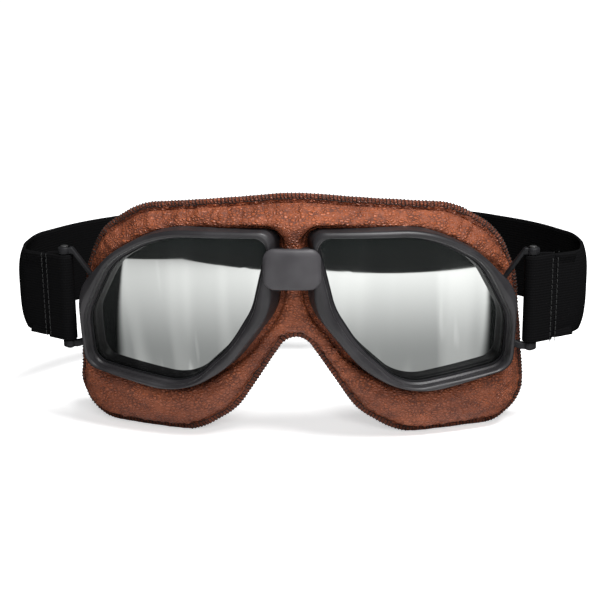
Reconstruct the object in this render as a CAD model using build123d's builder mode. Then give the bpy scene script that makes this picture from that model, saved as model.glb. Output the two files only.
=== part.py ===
from build123d import *
import os
from math import cos, radians, sin, sqrt

os.makedirs("parts", exist_ok=True)

# Driving dimensions in millimetres. The front plane touches the lip of both rims at the nose,
# depths are measured back from it, and heights are measured up from the table.

# Eye units
eye_spacing = 94.0
eye_height = 62.3
eye_setback = 3.3
eye_turn_deg = 12.0
front_radius = 160.0
rim_width = 85.2
rim_height = 71.1
rim_depth = 12.0
lip_inset = 1.2
lip_slope = 1.0
ledge_depth = 5.0
ledge_thickness = 1.4
lens_overlap = 1.6
lens_clearance = 0.15
gasket_thickness = 0.8
gasket_showing = 0.5
lens_thickness = 2.0

# Corners of the rim's outer edge from the nose side of the top, clockwise as the wearer's left
# eye is seen from the front: share of rim width, share of rim height, radius as share of width
rim_corner_shares = [
    (-0.474, 0.377, 0.072),
    (0.094, 0.381, 0.596),
    (0.335, 0.225, 0.441),
    (0.526, -0.010, 0.221),
    (0.526, -0.491, 0.083),
    (0.000, -0.619, 0.441),
    (-0.278, -0.399, 0.496),
    (-0.471, -0.093, 0.276),
]
# Corners of the sight opening, in the same order
sight_corner_shares = [
    (-0.426, 0.320, 0.050),
    (0.088, 0.319, 0.552),
    (0.337, 0.152, 0.276),
    (0.486, -0.165, 0.221),
    (0.486, -0.464, 0.077),
    (-0.019, -0.551, 0.243),
    (-0.235, -0.304, 0.660),
    (-0.350, -0.079, 0.330),
]
# The wall slopes more on the sides that face the nose, which are the last ones: shares of the
# lip's inset from the rim's foot, and of the slope inside the lip
lip_inset_shares = [1, 1, 1, 1, 1, 1.5, 2.7, 2.2]
lip_slope_shares = [-1, -1, -1, -1, -1, -1.2, -2.2, -2]
even_shares = [1] * len(rim_corner_shares)

# Strap pin and the arms that carry it
pin_x = 94.8
pin_depth = 27.0
pin_radius = 1.5
pin_end = 0.6
pin_fit = 0.05
boss_radius = 2.7
boss_height = 2.8
arm_thickness = 3.2
arm_width = 3.0
lower_root_x = 86.6
lower_arm_rise = 1.6
upper_root_x = 82.4
upper_arm_drop = 12.8

# Bridge
cover_width = 22.4
cover_height = 16.2
cover_top = 82.4
cover_stand = 2.6
cover_corner = 4.6
cover_rounding = 1.6
bar_width = 20.0
bar_height = 14.0
bar_top = 81.2
bar_front_depth = 0.6

# Face pad
pad_width = 191.2
pad_height = 101.8
flange_width = 3.0
flange_thickness = 0.9
leather_thickness = 1.2
seam_depth = 18.5
seam_radius = 190.0
front_bulge = 9.5
face_depth = 28.0
face_radius = 135.0
front_rounding = 8.0
back_rounding = 8.0
tunnel_inset = 1.0
flat_cut = 0.5
# Corners of the seam's outer edge, from the top of the centre down the wearer's left side to the
# top of the nose: share of half the width, share of the height, radius as share of half the width
pad_corner_shares = [
    (0.000, 1.000, 1.050),
    (0.656, 0.941, 0.300),
    (0.853, 0.824, 0.300),
    (0.938, 0.640, 0.360),
    (1.006, 0.010, 0.180),
    (0.450, -0.004, 0.320),
    (0.256, 0.110, 0.310),
    (0.000, 0.477, 0.078),
]

# Strap
strap_width = 36.0
strap_thickness = 1.5
strap_centre_height = 56.1
strap_leave_deg = 32.0
strap_reach_x = 122.0
strap_reach_depth = 125.5
loop_slack = 0.25
swing_gap = 0.3
loop_leg = 3.6
hem_start = 2.0
hem_closing = 6.0
hem_length = 14.0
hem_bend = 4.0
tail_start_x = -34.0
tail_end_x = 46.0
# The band leaves the pin in a straight line up to its first corner: share of the way sideways
# from the pin to the reach
knee_share = 0.826
# Radius at that corner, as share of the straight line
knee_radius_share = 0.475
# Corners of the band from there to the rear run: share of the reach sideways, share of the
# depth from the knee to the rear run, radius as share of that depth
strap_corner_shares = [(1.000, 0.261, 0.320), (0.852, 0.651, 0.900), (0.590, 1.000, 0.520)]

# Adjuster on the rear run
slider_length = 26.0
slider_bar = 3.6
slider_thickness = 2.0
slider_rail = 3.0
slider_gap = 0.3

# One overrun serves every cut
overrun = 6.0

# Derived places
rear_reach = strap_reach_depth + strap_thickness / 2 + slider_gap + slider_thickness
front_y = -(rear_reach - cover_stand) / 2
eye_x = eye_spacing / 2
half_pad = pad_width / 2
deepest_sag = (rim_width**2 + rim_height**2) / (4 * front_radius)
turn = radians(eye_turn_deg)
eye_plane = Plane(
    origin=(eye_x, front_y + eye_setback, eye_height),
    x_dir=(cos(turn), sin(turn), 0),
    z_dir=(sin(turn), -cos(turn), 0),
)
lens_front = front_radius - ledge_depth - ledge_thickness - gasket_thickness
strap_low = strap_centre_height - strap_width / 2
strap_high = strap_centre_height + strap_width / 2


def drawn_in(points, insets):
    """Moves each side of a clockwise outline inwards by its own inset."""
    moved = []
    count = len(points)
    for i in range(count):
        x0, y0, _ = points[i - 1]
        x1, y1, radius = points[i]
        x2, y2, _ = points[(i + 1) % count]
        before = Vector(y1 - y0, x0 - x1).normalized()
        after = Vector(y2 - y1, x1 - x2).normalized()
        a = insets[i - 1]
        b = insets[i]
        cross = before.X * after.Y - before.Y * after.X
        shift = (a + b) / 2 if cross < 0 else -(a + b) / 2
        x = x1 + (a * after.Y - b * before.Y) / cross
        y = y1 + (before.X * b - after.X * a) / cross
        moved.append((x, y, radius - shift))
    return moved


def outline(points):
    """Draws a closed outline of straight sides and rounded corners."""
    with BuildLine() as edge:
        FilletPolyline(*[(x, y) for x, y, _ in points], radius=[r for _, _, r in points], close=True)
    make_face(edge.edges())


def eye_corners(shares, inset, side_shares):
    """Corners of an eye outline with each side drawn in by its share of the inset."""
    points = [(u * rim_width, v * rim_height, r * rim_width) for u, v, r in shares]
    return drawn_in(points, [inset * share for share in side_shares])


def eye_ball(radius, mode):
    """A sphere about the centre of the lens curvature."""
    with Locations(eye_plane.offset(-front_radius)):
        Sphere(radius, mode=mode)


def eye_prism(shares, inset, mode=Mode.ADD, forward=overrun, back=None):
    """A straight prism of an eye outline along the eye unit's own axis."""
    reach = rim_depth + deepest_sag + overrun if back is None else back
    with BuildSketch(eye_plane.offset(-reach)) as section:
        outline(eye_corners(shares, inset, even_shares))
    extrude(section.sketch, amount=reach + forward, mode=mode)


def eye_layer(shares, inset, hole_shares, hole_inset, front, thickness):
    """A ring or a disc between two spheres of the lens curvature."""
    eye_prism(shares, inset)
    if hole_shares:
        eye_prism(hole_shares, hole_inset, Mode.SUBTRACT)
    eye_ball(front, Mode.INTERSECT)
    eye_ball(front - thickness, Mode.SUBTRACT)


def save(part, name):
    part.label = name
    export_step(part, f"parts/{name}.step")


def save_pair(part, name):
    """Writes the piece of one side and its mirror image."""
    with BuildPart() as twin:
        mirror(part, about=Plane.YZ)
    save(part, "right_" + name)
    save(twin.part, "left_" + name)


# Rim: an outer wall that narrows towards the lip
rim_reach = rim_depth + deepest_sag + overrun
with BuildPart() as rim_body:
    with BuildSketch(eye_plane.offset(-rim_reach)):
        outline(eye_corners(rim_corner_shares, 0, even_shares))
    with BuildSketch(eye_plane.offset(overrun)):
        outline(eye_corners(rim_corner_shares, lip_inset, lip_inset_shares))
    loft(ruled=True)
    eye_ball(front_radius, Mode.INTERSECT)

# The hollow in front of the ledge, wider at the lip
with BuildPart() as recess:
    with BuildSketch(eye_plane.offset(-rim_reach)):
        outline(eye_corners(sight_corner_shares, 0, even_shares))
    with BuildSketch(eye_plane.offset(overrun)):
        outline(eye_corners(sight_corner_shares, lip_slope, lip_slope_shares))
    loft(ruled=True)
    eye_ball(front_radius - ledge_depth, Mode.SUBTRACT)

# The pocket that takes the gasket, the lens and the retaining ring from behind
with BuildPart() as pocket:
    eye_prism(sight_corner_shares, -lens_overlap)
    eye_ball(front_radius - ledge_depth - ledge_thickness, Mode.INTERSECT)

boss_low = strap_low - swing_gap - boss_height
boss_high = strap_high + swing_gap
arm_front_y = front_y + pin_depth - arm_thickness / 2


def arm(root_x, root_z, boss_z):
    """Draws one arm, level where it passes the band's fold."""
    elbow_x = pin_x - pin_radius - loop_slack - strap_thickness - swing_gap
    with BuildLine() as edge:
        Polyline(
            (root_x, root_z - arm_width / 2),
            (elbow_x, boss_z - boss_height / 2),
            (pin_x, boss_z - boss_height / 2),
            (pin_x, boss_z + boss_height / 2),
            (elbow_x, boss_z + boss_height / 2),
            (root_x, root_z + arm_width / 2),
            close=True,
        )
    make_face(edge.edges())


# Arms out to the strap pin, each with a boss
with BuildPart() as arms:
    with BuildSketch(Plane.XZ.offset(-arm_front_y)):
        arm(lower_root_x, boss_low + boss_height / 2 + lower_arm_rise, boss_low + boss_height / 2)
        arm(upper_root_x, boss_high + boss_height / 2 - upper_arm_drop, boss_high + boss_height / 2)
    extrude(amount=-arm_thickness)
    with Locations(
        (pin_x, front_y + pin_depth, boss_low + boss_height / 2),
        (pin_x, front_y + pin_depth, boss_high + boss_height / 2),
    ):
        Cylinder(boss_radius, boss_height)
    eye_ball(front_radius - rim_depth, Mode.SUBTRACT)

with BuildPart() as rim:
    add(rim_body.part)
    eye_ball(front_radius - rim_depth, Mode.SUBTRACT)
    add(arms.part)
    add(recess.part, mode=Mode.SUBTRACT)
    eye_prism(sight_corner_shares, 0, Mode.SUBTRACT)
    add(pocket.part, mode=Mode.SUBTRACT)
    with Locations((pin_x, front_y + pin_depth, strap_centre_height)):
        Cylinder(pin_radius + pin_fit, strap_width + 2 * (boss_height + overrun), mode=Mode.SUBTRACT)
save_pair(rim.part, "rim")

with BuildPart() as gasket:
    eye_layer(
        sight_corner_shares, lens_clearance - lens_overlap,
        sight_corner_shares, gasket_showing,
        front_radius - ledge_depth - ledge_thickness, gasket_thickness,
    )
save_pair(gasket.part, "gasket")

with BuildPart() as lens:
    eye_layer(sight_corner_shares, lens_clearance - lens_overlap, None, 0, lens_front, lens_thickness)
save_pair(lens.part, "lens")

with BuildPart() as retaining_ring:
    eye_layer(
        sight_corner_shares, lens_clearance - lens_overlap,
        sight_corner_shares, 0,
        lens_front - lens_thickness, rim_depth - (front_radius - lens_front) - lens_thickness,
    )
save_pair(retaining_ring.part, "retaining_ring")

with BuildPart() as strap_pin:
    with Locations((pin_x, front_y + pin_depth, strap_centre_height)):
        Cylinder(pin_radius, strap_width + 2 * (swing_gap + boss_height + pin_end))
    fillet(strap_pin.edges().filter_by(GeomType.CIRCLE), pin_end / 2)
save_pair(strap_pin.part, "strap_pin")

# Both rims as solid blocks, for the pieces that seat against them
with BuildPart() as rim_blocks:
    add(rim_body.part)
    eye_ball(front_radius - rim_depth, Mode.SUBTRACT)
    add(arms.part)
    mirror(about=Plane.YZ)

with BuildPart() as bridge_bar:
    with BuildSketch(Plane.XZ.offset(-front_y - bar_front_depth)):
        with Locations((0, bar_top - bar_height / 2)):
            Rectangle(bar_width, bar_height)
    extrude(amount=bar_front_depth - seam_depth + front_bulge)
    add(rim_blocks.part, mode=Mode.SUBTRACT)
save(bridge_bar.part, "bridge_bar")

with BuildPart() as bridge_cover:
    with BuildSketch(Plane.XZ.offset(-front_y + cover_stand)):
        with Locations((0, cover_top - cover_height / 2)):
            RectangleRounded(cover_width, cover_height, cover_corner)
    extrude(amount=-cover_stand - bar_front_depth)
    fillet(bridge_cover.faces().sort_by(Axis.Y)[0].edges(), cover_rounding)
    add(rim_blocks.part, mode=Mode.SUBTRACT)
save(bridge_cover.part, "bridge_cover")


def pad_corners(inset):
    """Corners of the pad's outline drawn in by one inset."""
    right = [(x * half_pad, z * pad_height - flat_cut, r * half_pad) for x, z, r in pad_corner_shares]
    left = [(-x, z, r) for x, z, r in right[-2:0:-1]]
    return drawn_in(right + left, [inset] * len(right + left))


def wrap_point(x, radius, depth):
    """A point at x on an arc that wraps back from its depth at the centre."""
    return (x, front_y + depth + radius - sqrt(radius**2 - x**2))


def wrap_layer(front, back):
    """Keeps what lies between two arcs in plan, each given as its radius and its depth."""
    edge = half_pad + overrun
    with BuildSketch(Plane.XY.offset(-overrun)) as plan:
        with BuildLine() as lines:
            ThreePointArc(wrap_point(-edge, *front), wrap_point(0, *front), wrap_point(edge, *front))
            ThreePointArc(wrap_point(-edge, *back), wrap_point(0, *back), wrap_point(edge, *back))
            Line(wrap_point(-edge, *front), wrap_point(-edge, *back))
            Line(wrap_point(edge, *front), wrap_point(edge, *back))
        make_face(lines.edges())
    extrude(plan.sketch, amount=pad_height + 2 * overrun, mode=Mode.INTERSECT)


def pad_block(corners):
    """A straight block of the pad's outline, from the front plane back."""
    with BuildSketch(Plane.XZ.offset(-front_y + overrun)) as section:
        outline(corners)
    extrude(section.sketch, amount=-(rear_reach + overrun))


seam_arc = (seam_radius, seam_depth)


def half_pad_body(inner, front):
    """The front or the back cushion, inset by a leather's thickness when it is the inner form."""
    skin = leather_thickness if inner else 0
    with BuildPart() as body:
        pad_block(pad_corners(flange_width + skin))
        if front:
            wrap_layer((seam_radius + front_bulge - skin, seam_depth - front_bulge + skin), seam_arc)
            face = body.faces().sort_by(SortBy.AREA)[-2:].sort_by(Axis.Y)[0]
            fillet(face.outer_wire().edges(), front_rounding - skin)
        else:
            wrap_layer(seam_arc, (face_radius + skin, face_depth - skin))
            face = body.faces().sort_by(SortBy.AREA)[-2:].sort_by(Axis.Y)[-1]
            fillet(face.outer_wire().edges(), back_rounding - skin)
    return body.part


front_cushion = half_pad_body(False, True)
back_cushion = half_pad_body(False, False)
front_core = half_pad_body(True, True)
back_core = half_pad_body(True, False)

with BuildPart() as tunnels:
    eye_prism(sight_corner_shares, tunnel_inset, back=rear_reach)
    mirror(about=Plane.YZ)

with BuildPart() as wide_tunnels:
    eye_prism(sight_corner_shares, tunnel_inset - leather_thickness, back=rear_reach)
    mirror(about=Plane.YZ)

# The hollow that the foam leaves round both rims
with BuildPart() as rim_hollows:
    eye_prism(rim_corner_shares, -leather_thickness)
    eye_ball(front_radius - rim_depth - leather_thickness, Mode.SUBTRACT)
    mirror(about=Plane.YZ)

with BuildPart() as foam_block:
    add(front_core)
    add(back_core)
    add(wide_tunnels.part, mode=Mode.SUBTRACT)

with BuildPart() as foam_core:
    add(foam_block.part)
    add(rim_hollows.part, mode=Mode.SUBTRACT)
save(foam_core.part, "foam_core")


# The edges of both leathers, sewn together outside the cushions; the pad stands on them
front_side = (seam_radius + flange_thickness, seam_depth - flange_thickness)
back_side = (seam_radius - flange_thickness, seam_depth + flange_thickness)
with BuildPart() as table:
    with Locations((0, 0, -overrun)):
        Box(pad_width + 2 * overrun, 2 * rear_reach, 2 * overrun)

with BuildPart() as sewn_edge:
    with BuildSketch(Plane.XZ.offset(-front_y + overrun)) as ring:
        outline(pad_corners(0))
        with BuildSketch(mode=Mode.SUBTRACT):
            outline(pad_corners(flange_width))
    extrude(ring.sketch, amount=-(rear_reach + overrun))
    wrap_layer(front_side, back_side)
    add(table.part, mode=Mode.SUBTRACT)
save(sewn_edge.part, "sewn_edge")

with BuildPart() as leather_front:
    add(front_cushion)
    add(foam_core.part, mode=Mode.SUBTRACT)
    add(tunnels.part, mode=Mode.SUBTRACT)
    add(rim_blocks.part, mode=Mode.SUBTRACT)
save(leather_front.part, "leather_front")

with BuildPart() as leather_back:
    add(back_cushion)
    add(foam_block.part, mode=Mode.SUBTRACT)
    add(tunnels.part, mode=Mode.SUBTRACT)
save(leather_back.part, "leather_back")

# Strap, drawn in plan: along leaves the pin, across points to the band's outer side
leave = radians(strap_leave_deg)
along = Vector(cos(leave), sin(leave))
across = Vector(sin(leave), -cos(leave))
pin_middle = Vector(pin_x, front_y + pin_depth)
layer_radius = pin_radius + loop_slack + strap_thickness / 2
band_start = pin_middle + across * layer_radius
leaving_run = knee_share * (strap_reach_x - band_start.X) / along.X
knee = band_start + along * leaving_run
run_y = front_y + strap_reach_depth
turn_depth = run_y - knee.Y
plan_low = Plane.XY.offset(strap_low)


def loop_zone(gap, mode, side=1):
    """The space round one pin in which the band's fold stays with the frame."""
    with Locations((side * pin_x, front_y + pin_depth, strap_centre_height)):
        Box(2 * (loop_leg + gap), 2 * (hem_length + overrun), strap_width + overrun, mode=mode)


with BuildPart() as strap_loop:
    with BuildSketch(plan_low):
        with BuildLine() as fold:
            far = along * (loop_leg + overrun)
            Line(band_start + far, band_start)
            ThreePointArc(
                band_start, pin_middle - along * layer_radius, pin_middle - across * layer_radius
            )
            Line(pin_middle - across * layer_radius, pin_middle - across * layer_radius + far)
        trace(fold.edges(), line_width=strap_thickness)
    extrude(amount=strap_width)
    loop_zone(0, Mode.INTERSECT)
save_pair(strap_loop.part, "strap_loop")

with BuildPart() as strap_hem:
    with BuildSketch(plan_low):
        with BuildLine() as fold:
            lying = across * (layer_radius - strap_thickness)
            FilletPolyline(
                pin_middle - across * layer_radius,
                pin_middle - across * layer_radius + along * (loop_leg + hem_start),
                pin_middle + lying + along * (loop_leg + hem_start + hem_closing),
                pin_middle + lying + along * (loop_leg + hem_start + hem_length),
                radius=[hem_bend, hem_bend],
            )
        trace(fold.edges(), line_width=strap_thickness)
    extrude(amount=strap_width)
    loop_zone(swing_gap, Mode.SUBTRACT)
save_pair(strap_hem.part, "strap_hem")

with BuildPart() as strap_band:
    with BuildSketch(plan_low):
        with BuildLine() as path:
            right = [band_start, knee] + [
                Vector(x * strap_reach_x, knee.Y + y * turn_depth) for x, y, _ in strap_corner_shares
            ]
            radii = [knee_radius_share * leaving_run] + [r * turn_depth for _, _, r in strap_corner_shares]
            left = [Vector(-point.X, point.Y) for point in right[::-1]]
            FilletPolyline(*right, *left, radius=radii + radii[::-1])
        trace(path.edges(), line_width=strap_thickness)
    extrude(amount=strap_width)
    loop_zone(swing_gap, Mode.SUBTRACT)
    loop_zone(swing_gap, Mode.SUBTRACT, side=-1)
save(strap_band.part, "strap_band")

# The rear run, from the inside out: tail, band, with the slider round both
tail_y = run_y - strap_thickness
with BuildPart() as strap_tail:
    with Locations(((tail_start_x + tail_end_x) / 2, tail_y, strap_centre_height)):
        Box(tail_end_x - tail_start_x, strap_thickness, strap_width)
save(strap_tail.part, "strap_tail")

slider_inside = tail_y - strap_thickness / 2 - slider_gap - slider_thickness
slider_outside = run_y + strap_thickness / 2 + slider_gap + slider_thickness
slider_opening = strap_width + 2 * slider_gap
with BuildPart() as strap_adjuster:
    with BuildSketch(Plane.XY.offset(strap_centre_height - slider_opening / 2 - slider_rail)):
        with Locations((0, (slider_inside + slider_outside) / 2)):
            RectangleRounded(slider_length, slider_outside - slider_inside, slider_thickness / 2)
    extrude(amount=slider_opening + 2 * slider_rail)
    # The opening keeps two bars outside the band and one inside the tail
    with Locations((0, (slider_inside + slider_outside) / 2, strap_centre_height)):
        Box(
            slider_length + overrun, slider_outside - slider_inside - 2 * slider_thickness, slider_opening,
            mode=Mode.SUBTRACT,
        )
    with Locations((0, slider_outside, strap_centre_height)):
        Box(
            slider_length - 2 * slider_bar, 2 * slider_thickness + slider_gap, slider_opening,
            mode=Mode.SUBTRACT,
        )
    side_gap = (slider_length - slider_bar) / 2
    with Locations(
        (slider_bar / 2 + side_gap / 2, slider_inside, strap_centre_height),
        (-slider_bar / 2 - side_gap / 2, slider_inside, strap_centre_height),
    ):
        Box(side_gap, 2 * slider_thickness + slider_gap, slider_opening, mode=Mode.SUBTRACT)
save(strap_adjuster.part, "strap_adjuster")
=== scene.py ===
# %% [markdown]
# Flying goggles with two mirror lenses in dark frames, on a puffed leather face pad, with a
# black elastic strap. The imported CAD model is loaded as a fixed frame, and every piece below
# is built in its place, in metres, with +X to the right of the photograph, +Y away from the
# camera and +Z up.

from math import acos, atan2, ceil, cos, exp, pi, radians, sin, sqrt, tan

import bmesh
import bpy
import numpy as np
from mathutils import Matrix, Vector, noise


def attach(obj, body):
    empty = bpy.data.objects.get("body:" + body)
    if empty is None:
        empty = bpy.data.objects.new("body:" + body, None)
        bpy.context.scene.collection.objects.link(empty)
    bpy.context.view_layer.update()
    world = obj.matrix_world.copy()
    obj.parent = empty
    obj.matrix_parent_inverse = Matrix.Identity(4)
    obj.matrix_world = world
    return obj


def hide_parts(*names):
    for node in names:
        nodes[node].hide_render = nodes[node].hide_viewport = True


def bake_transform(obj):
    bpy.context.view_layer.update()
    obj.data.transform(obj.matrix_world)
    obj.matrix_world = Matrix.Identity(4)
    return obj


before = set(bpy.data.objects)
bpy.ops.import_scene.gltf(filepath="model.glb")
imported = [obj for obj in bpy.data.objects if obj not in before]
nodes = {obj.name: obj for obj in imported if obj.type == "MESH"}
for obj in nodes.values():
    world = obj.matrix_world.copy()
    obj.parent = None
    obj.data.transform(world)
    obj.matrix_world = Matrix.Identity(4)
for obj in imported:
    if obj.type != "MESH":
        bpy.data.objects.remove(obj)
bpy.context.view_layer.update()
MM = 0.001

# %% [markdown]
# The sizes that the pieces share with the CAD model, in millimetres. Depths are measured back
# from the front plane, which touches both rims, and an outline is a list of corners with a
# radius at each.

# %% Sizes
front_y = -62.975
eye_x, eye_setback, eye_z = 47.0, 3.3, 62.3
eye_turn = radians(12.0)
front_radius, ledge_radius, back_radius = 160.0, 155.0, 148.0
rim_width, rim_height = 85.2, 71.1
rim_corners = [
    (-0.474, 0.377, 0.072), (0.094, 0.381, 0.596), (0.335, 0.225, 0.441), (0.526, -0.010, 0.221),
    (0.526, -0.491, 0.083), (0.000, -0.619, 0.441), (-0.278, -0.399, 0.496), (-0.471, -0.093, 0.276),
]
sight_corners = [
    (-0.426, 0.320, 0.050), (0.088, 0.319, 0.552), (0.337, 0.152, 0.276), (0.486, -0.165, 0.221),
    (0.486, -0.464, 0.077), (-0.019, -0.551, 0.243), (-0.235, -0.304, 0.660), (-0.350, -0.079, 0.330),
]
even = [1] * 8
lip_shares = [1.2, 1.2, 1.2, 1.2, 1.2, 1.8, 3.24, 2.64]
mouth_shares = [-1, -1, -1, -1, -1, -1.2, -2.2, -2]
pad_half, pad_height, flat_cut = 95.6, 101.8, 0.5
pad_corners = [
    (0.000, 1.000, 1.050), (0.656, 0.941, 0.300), (0.853, 0.824, 0.300), (0.938, 0.640, 0.360),
    (1.006, 0.010, 0.180), (0.450, -0.004, 0.320), (0.256, 0.110, 0.310), (0.000, 0.477, 0.078),
]
seam_depth, seam_radius = 18.5, 190.0
strap_z, strap_width, strap_thick = 56.1, 36.0, 1.5


# %% [markdown]
# An outline with rounded corners is sampled with the same number of points on every corner and
# every side. So two outlines of the same corners match point for point, and a wall between them
# is a plain loft.

# %% Outlines
def drawn_in(points, insets):
    """Moves each side of a clockwise outline inwards by its own inset."""
    moved = []
    for i in range(len(points)):
        x0, y0, _ = points[i - 1]
        x1, y1, radius = points[i]
        x2, y2, _ = points[(i + 1) % len(points)]
        before = Vector((y1 - y0, x0 - x1)).normalized()
        after = Vector((y2 - y1, x1 - x2)).normalized()
        a, b = insets[i - 1], insets[i]
        cross = before.x * after.y - before.y * after.x
        shift = (a + b) / 2 if cross < 0 else -(a + b) / 2
        moved.append((
            x1 + (a * after.y - b * before.y) / cross,
            y1 + (before.x * b - after.x * a) / cross,
            radius - shift,
        ))
    return moved


def rounded(points, on_corner=14, on_side=6, closed=True):
    """Points along an outline whose corners are arcs, and the straight runs between them."""
    count = len(points)
    path = []
    for i in range(count):
        x1, y1, radius = points[i]
        if not closed and i in (0, count - 1):
            path.append(Vector((x1, y1)))
            if i == 0:
                continue
            break
        here = Vector((x1, y1))
        back = (Vector(points[i - 1][:2]) - here).normalized()
        ahead = (Vector(points[(i + 1) % count][:2]) - here).normalized()
        half = acos(max(-1, min(1, back.dot(ahead)))) / 2
        reach = radius / tan(half)
        middle = here + (back + ahead).normalized() * (radius / sin(half))
        start, end = here + back * reach - middle, here + ahead * reach - middle
        if path and not closed:
            path += [path[-1].lerp(middle + start, k / on_side) for k in range(1, on_side)]
        turn = atan2(start.x * end.y - start.y * end.x, start.dot(end))
        for k in range(on_corner + 1):
            t = turn * k / on_corner
            path.append(middle + Vector((
                start.x * cos(t) - start.y * sin(t), start.x * sin(t) + start.y * cos(t),
            )))
        if closed:
            nxt = Vector(points[(i + 1) % count][:2])
            away = (Vector(points[(i + 2) % count][:2]) - nxt).normalized()
            toward = (here - nxt).normalized()
            half = acos(max(-1, min(1, toward.dot(away)))) / 2
            stop = nxt + toward * (points[(i + 1) % count][2] / tan(half))
            path += [path[-1].lerp(stop, k / on_side) for k in range(1, on_side)]
        elif i < count - 2:
            continue
        else:
            last = Vector(points[-1][:2])
            path += [path[-1].lerp(last, k / on_side) for k in range(1, on_side)]
    return path


def eye_outline(corners, inset=0.0, shares=even):
    points = [(u * rim_width, v * rim_height, r * rim_width) for u, v, r in corners]
    return rounded(drawn_in(points, [inset * s for s in shares]))


def pad_outline(inset, on_corner=14, on_side=6):
    right = [(x * pad_half, z * pad_height - flat_cut, r * pad_half) for x, z, r in pad_corners]
    left = [(-x, z, r) for x, z, r in right[-2:0:-1]]
    return rounded(drawn_in(right + left, [inset] * len(right + left)), on_corner, on_side)


print("rim outline", len(eye_outline(rim_corners)), "points, pad outline", len(pad_outline(0)))


# %% [markdown]
# Each eye unit is a patch of one large sphere, turned outwards. eye_place puts a point of an
# outline on a sphere about the same centre, so the lip, the ledge and the lens all curve alike.

# %% Eye units
across_eye = Vector((cos(eye_turn), sin(eye_turn), 0))
out_of_eye = Vector((sin(eye_turn), -cos(eye_turn), 0))
eye_centre = Vector((eye_x, front_y + eye_setback, eye_z))


def eye_place(side, u, v, radius):
    w = sqrt(radius**2 - u**2 - v**2) - front_radius
    p = eye_centre + across_eye * u + Vector((0, 0, v)) + out_of_eye * w
    return Vector((side * p.x, p.y, p.z)) * MM


foot_level, lip_level = -37.24, 6.0


def wall_ring(foot, lip, radius):
    """Where a wall that narrows from its foot to the lip meets a sphere of the eye unit."""
    ring = []
    for a, b in zip(foot, lip):
        at = a
        for _ in range(3):
            w = sqrt(radius**2 - at.x**2 - at.y**2) - front_radius
            at = a.lerp(b, (w - foot_level) / (lip_level - foot_level))
        ring.append(at)
    return ring


# %% [markdown]
# Every mesh here is made from rings of points. loft joins each ring to the next with quads, and
# recalculates the normals, because the left side is a mirror image.

# %% Mesh helpers
def finish_mesh(name, bm, smooth=True):
    bmesh.ops.remove_doubles(bm, verts=bm.verts, dist=1e-6)
    bmesh.ops.recalc_face_normals(bm, faces=bm.faces)
    for face in bm.faces:
        face.smooth = smooth
    return linked(name, bm)


def linked(name, bm):
    """A new object in the scene, made of the bmesh."""
    mesh = bpy.data.meshes.new(name)
    bm.to_mesh(mesh)
    bm.free()
    return in_scene(name, mesh)


def in_scene(name, data):
    obj = bpy.data.objects.new(name, data)
    bpy.context.scene.collection.objects.link(obj)
    return obj


def join_rings(bm, rings, along=False):
    rows = [[bm.verts.new(p) for p in ring] for ring in rings]
    pairs = list(zip(rows, rows[1:])) + ([(rows[-1], rows[0])] if along else [])
    for low, high in pairs:
        for i in range(len(low)):
            j = (i + 1) % len(low)
            bm.faces.new((low[i], low[j], high[j], high[i]))
    return rows


def loft(name, rings, along=False, caps=False):
    bm = bmesh.new()
    rows = join_rings(bm, rings, along)
    if caps:
        bm.faces.new(rows[0][::-1])
        bm.faces.new(rows[-1])
    return finish_mesh(name, bm)


def baked(obj, name):
    """A plain copy of what the modifiers make; the object itself goes."""
    bpy.context.view_layer.update()
    mesh = bpy.data.meshes.new_from_object(obj.evaluated_get(bpy.context.evaluated_depsgraph_get()))
    bpy.data.objects.remove(obj)
    return in_scene(name, mesh)


def joined(name, parts):
    """One object of several, with their material slots kept."""
    bm = bmesh.new()
    materials = []
    for part in parts:
        first = len(bm.faces)
        bm.from_mesh(part.data)
        bm.faces.ensure_lookup_table()
        slots = []
        for material in part.data.materials:
            if material not in materials:
                materials.append(material)
            slots.append(materials.index(material))
        for face in bm.faces[first:]:
            face.material_index = slots[face.material_index] if slots else 0
    for part in parts:
        bpy.data.objects.remove(part)
    obj = linked(name, bm)
    for material in materials:
        obj.data.materials.append(material)
    return obj


# %% [markdown]
# Shader maths is written as Python: Num wraps a socket, and an operator on it adds a Math node.
# Surface.node makes any other node from its type, its settings and the values of its sockets.

# %% Shader helpers
class Num:
    def __init__(self, sheet, socket):
        self.sheet, self.socket = sheet, socket

    def _math(self, operation, *values):
        return self.sheet.node("ShaderNodeMath", {"operation": operation}, dict(enumerate(values)))

    def __add__(self, other):
        return self._math("ADD", self, other)

    def __sub__(self, other):
        return self._math("SUBTRACT", self, other)

    def __rsub__(self, other):
        return self._math("SUBTRACT", other, self)

    def __mul__(self, other):
        return self._math("MULTIPLY", self, other)

    def __pow__(self, other):
        return self._math("POWER", self, other)

    __radd__, __rmul__ = __add__, __mul__

    def sine(self):
        return self._math("SINE", self)

    def size(self):
        return self._math("ABSOLUTE", self)

    def step(self, low, high):
        """0 below low, 1 above high, smooth between."""
        return self.sheet.node(
            "ShaderNodeMapRange", {"interpolation_type": "SMOOTHSTEP"},
            {"Value": self, "From Min": low, "From Max": high},
        )


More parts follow.
